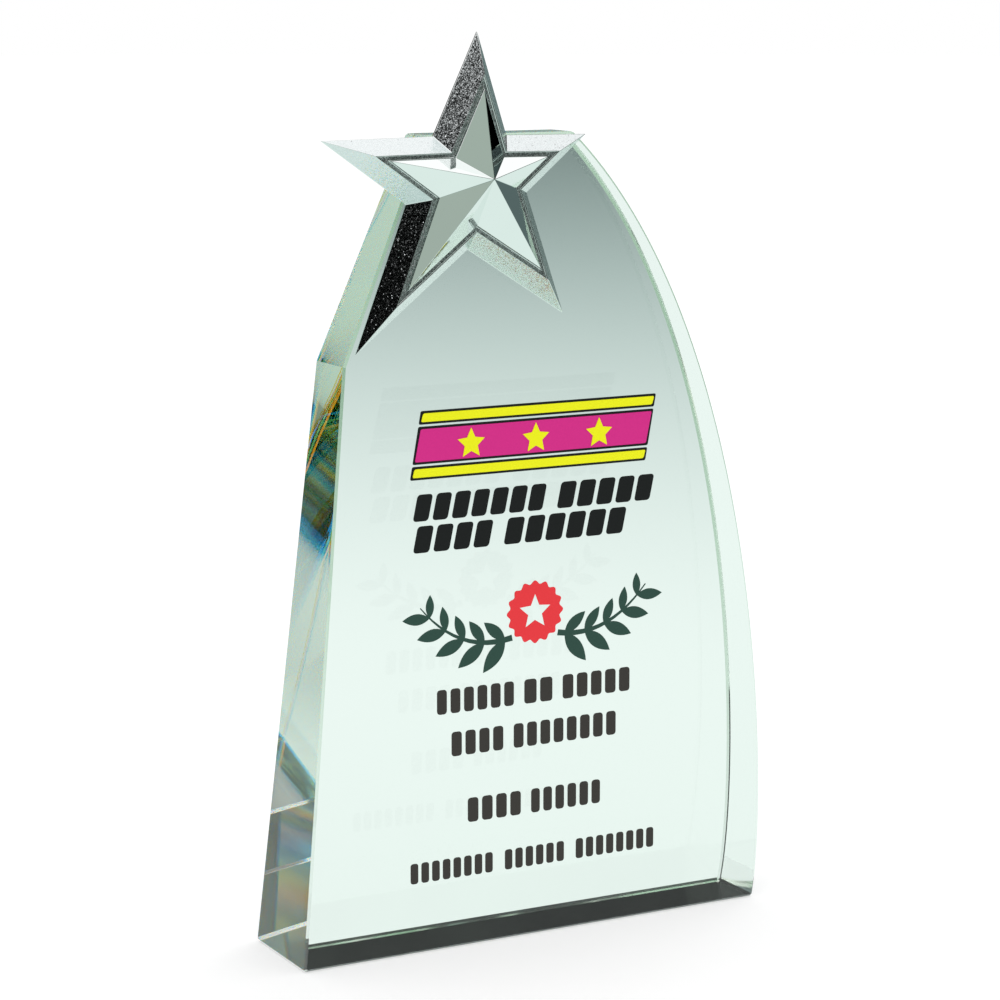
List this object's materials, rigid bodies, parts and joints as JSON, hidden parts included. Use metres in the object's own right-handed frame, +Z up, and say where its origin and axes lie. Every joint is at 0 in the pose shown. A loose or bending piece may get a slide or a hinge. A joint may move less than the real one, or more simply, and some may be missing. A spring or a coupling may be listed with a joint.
{
  "type": "star trophy",
  "caption": "Free-standing wedge of clear optical glass with a curved right flank, a faceted chrome star bonded to the front at the upper left, and a printed front face.",
  "frame": {"origin": "middle of the flat base face that the trophy stands on", "axes": "+Z up; -Y out of the printed front face, towards the viewer; +X to the viewer's right along the front face"},
  "size_m": [0.1316, 0.0415, 0.2262],
  "materials": {
    "optical_glass": "polished clear optical glass, faint mint tint",
    "chrome_plate": "bright chrome plate; frosted glitter on the outer slopes, dark grained groove",
    "clear_bond": "cured clear adhesive",
    "ink_black": "printed ink, satin",
    "ink_charcoal": "printed ink, satin",
    "ink_yellow": "printed ink, satin",
    "ink_magenta": "printed ink, satin",
    "ink_green": "printed ink, satin",
    "ink_red": "printed ink, satin"
  },
  "bodies": {
    "root": {"glass_body": "optical_glass", "print_banner": "ink_magenta", "print_banner_outline": "ink_black", "print_detail_1_bar_1": "ink_charcoal", "print_detail_1_bar_2": "ink_charcoal", "print_detail_1_bar_3": "ink_charcoal", "print_detail_2_bar_1": "ink_charcoal", "print_detail_2_bar_2": "ink_charcoal", "print_detail_3_bar_1": "ink_charcoal", "print_detail_3_bar_2": "ink_charcoal", "print_detail_4_bar_1": "ink_charcoal", "print_detail_4_bar_2": "ink_charcoal", "print_detail_4_bar_3": "ink_charcoal", "print_laurel_left": "ink_green", "print_laurel_right": "ink_green", "print_lower_rule": "ink_yellow", "print_lower_rule_outline": "ink_black", "print_medal": "ink_red", "print_star_1": "ink_yellow", "print_star_2": "ink_yellow", "print_star_3": "ink_yellow", "print_title_1_bar_1": "ink_black", "print_title_1_bar_2": "ink_black", "print_title_2_bar_1": "ink_black", "print_title_2_bar_2": "ink_black", "print_upper_rule": "ink_yellow", "print_upper_rule_outline": "ink_black", "star_adhesive_bed": "clear_bond", "star_casting": "chrome_plate"}
  },
  "joints": []
}
